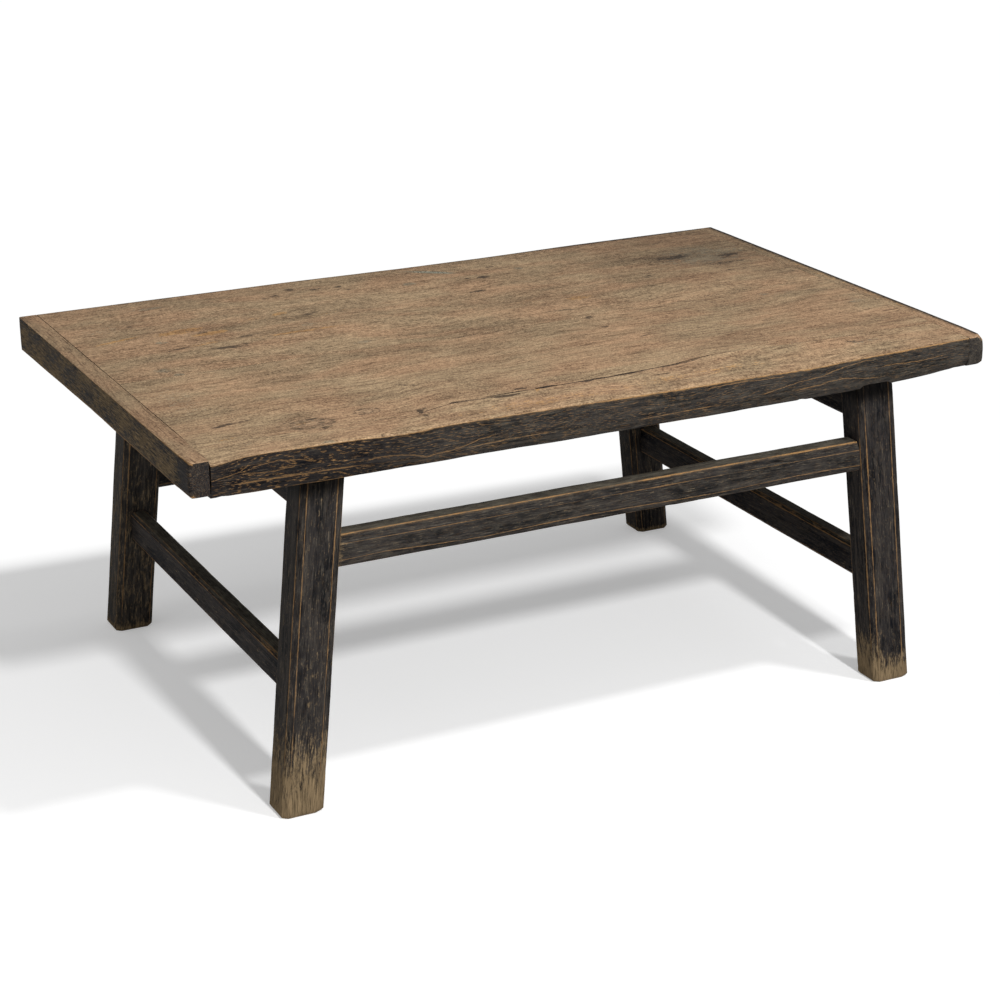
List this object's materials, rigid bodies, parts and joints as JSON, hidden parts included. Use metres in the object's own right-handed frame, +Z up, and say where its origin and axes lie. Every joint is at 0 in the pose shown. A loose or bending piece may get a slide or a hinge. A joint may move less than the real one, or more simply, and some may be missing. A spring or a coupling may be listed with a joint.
{
  "type": "kang table",
  "caption": "Low rectangular table with a thick plank top, narrow end cleats and raked chamfered legs tied by stretchers and end rails.",
  "frame": {"origin": "centre of the bounding box's bottom face, on the floor", "axes": "+X along the table's length, +Y from front to back, +Z up"},
  "size_m": [1.07, 0.674, 0.456],
  "materials": {
    "scrubbed_elm_top": "scrubbed bare elm with black lacquer left on the edges",
    "end_cleat_elm": "scrubbed bare elm on top, dark lacquered end grain",
    "worn_black_lacquer": "black lacquer rubbed through to brown wood on the arrises and feet"
  },
  "bodies": {
    "root": {"back_left_leg": "worn_black_lacquer", "back_right_leg": "worn_black_lacquer", "back_stretcher": "worn_black_lacquer", "back_top_board": "scrubbed_elm_top", "front_left_leg": "worn_black_lacquer", "front_right_leg": "worn_black_lacquer", "front_stretcher": "worn_black_lacquer", "front_top_board": "scrubbed_elm_top", "left_end_cleat": "end_cleat_elm", "left_end_rail": "worn_black_lacquer", "left_end_stretcher": "worn_black_lacquer", "middle_top_board": "scrubbed_elm_top", "right_end_cleat": "end_cleat_elm", "right_end_rail": "worn_black_lacquer", "right_end_stretcher": "worn_black_lacquer"}
  },
  "joints": []
}
